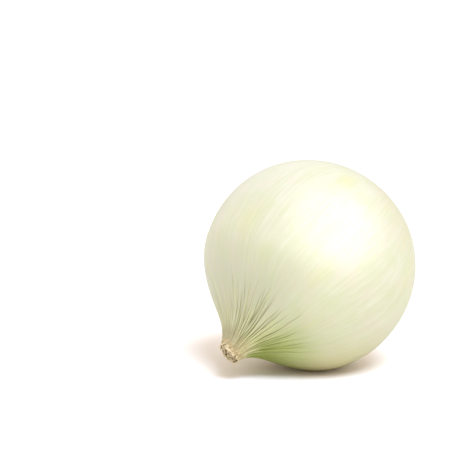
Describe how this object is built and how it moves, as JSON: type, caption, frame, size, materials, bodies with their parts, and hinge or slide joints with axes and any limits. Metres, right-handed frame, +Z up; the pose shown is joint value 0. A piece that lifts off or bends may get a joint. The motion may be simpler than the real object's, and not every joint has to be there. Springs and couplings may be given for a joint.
{
  "type": "onion",
  "caption": "Peeled white onion lying on its side, with veins gathering at a dried neck end and trimmed roots on a corky plate.",
  "frame": {"origin": "middle of the small flat spot on the bulb's underside that it rests on", "axes": "+Z up; the onion's own axis lies close to the XZ plane, with the neck towards -X, dipping 34 degrees to the floor, and the root end towards +X and up"},
  "size_m": [0.0874, 0.0848, 0.0839],
  "materials": {
    "flesh": "satin",
    "dry_leaf": "matte",
    "root_cork": "matte"
  },
  "bodies": {
    "root": {"bulb": "flesh", "dry_neck": "dry_leaf", "root_plate": "root_cork"}
  },
  "joints": []
}
